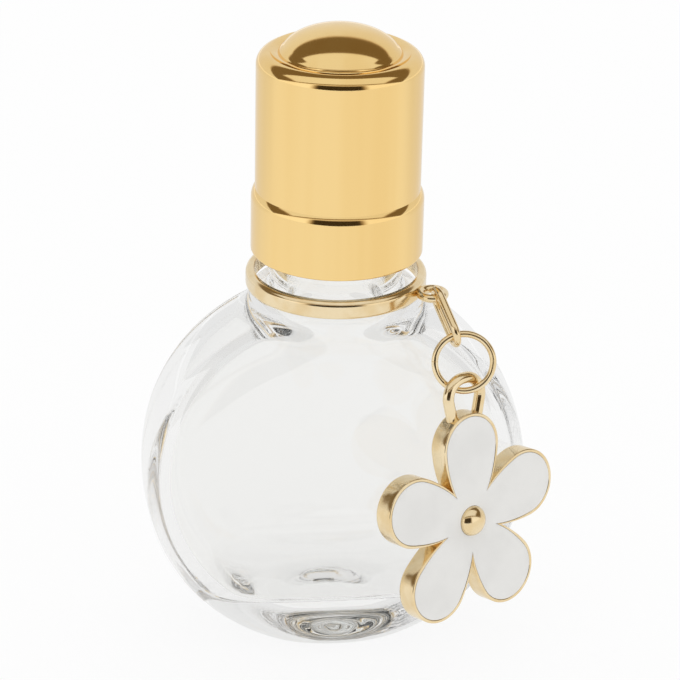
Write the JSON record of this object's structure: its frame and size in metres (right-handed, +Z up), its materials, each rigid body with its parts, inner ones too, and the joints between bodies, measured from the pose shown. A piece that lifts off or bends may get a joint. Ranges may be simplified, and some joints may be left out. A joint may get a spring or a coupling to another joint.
{
  "type": "roll on bottle",
  "caption": "Flat round clear glass roll on bottle with a gold domed screw cap over a ball applicator, and a loose neck ring with an enamelled flower charm on a short chain.",
  "frame": {"origin": "middle of the flat base, on the surface that the bottle stands on, under the axis of the neck", "axes": "+Z up along the neck, +X to the right seen from the front, the flat front of the glass faces -Y"},
  "size_m": [0.043, 0.0304, 0.0684],
  "materials": {
    "clear_glass": "clear polished",
    "housing_plastic": "natural moulded",
    "ball_steel": "polished",
    "cap_gold": "polished gold",
    "liner_plastic": "moulded white",
    "pale_gold": "plated pale gold",
    "white_enamel": "glossy enamel"
  },
  "bodies": {
    "bottle": {"glass_bottle": "clear_glass", "roller_housing": "housing_plastic"},
    "ball": {"roller_ball": "ball_steel"},
    "cap": {"cap_shell": "cap_gold", "cap_liner": "liner_plastic"},
    "ring": {"neck_ring": "pale_gold"},
    "link": {"oval_link": "pale_gold"},
    "jump_ring": {"jump_ring": "pale_gold"},
    "charm": {"flower_charm": "pale_gold", "flower_enamel": "white_enamel"}
  },
  "joints": [
    {"name": "cap_lift", "type": "slide", "parent": "bottle", "child": "cap", "axis": [0, 0, 1], "range_m": [0, 0.03]},
    {"name": "ball_roll", "type": "hinge", "parent": "bottle", "child": "ball", "pos_m": [0, 0, 0.056], "axis": [1, 0, 0], "continuous": true},
    {"name": "ring_turn", "type": "hinge", "parent": "bottle", "child": "ring", "pos_m": [0, 0, 0.0411], "axis": [0, 0, 1], "range_deg": [-62, 0]},
    {"name": "link_swing", "type": "hinge", "parent": "ring", "child": "link", "pos_m": [0.00981, -0.00681, 0.04108], "axis": [-0.9397, -0.342, 0], "range_deg": [0, 60]},
    {"name": "jump_ring_swing", "type": "hinge", "parent": "link", "child": "jump_ring", "pos_m": [0.01106, -0.01025, 0.03837], "axis": [-0.9354, 0.0464, -0.3505], "range_deg": [0, 30]},
    {"name": "charm_swing", "type": "hinge", "parent": "jump_ring", "child": "charm", "pos_m": [0.01208, -0.0116, 0.0327], "axis": [-0.992, 0.1215, -0.0341], "range_deg": [0, 20]}
  ]
}
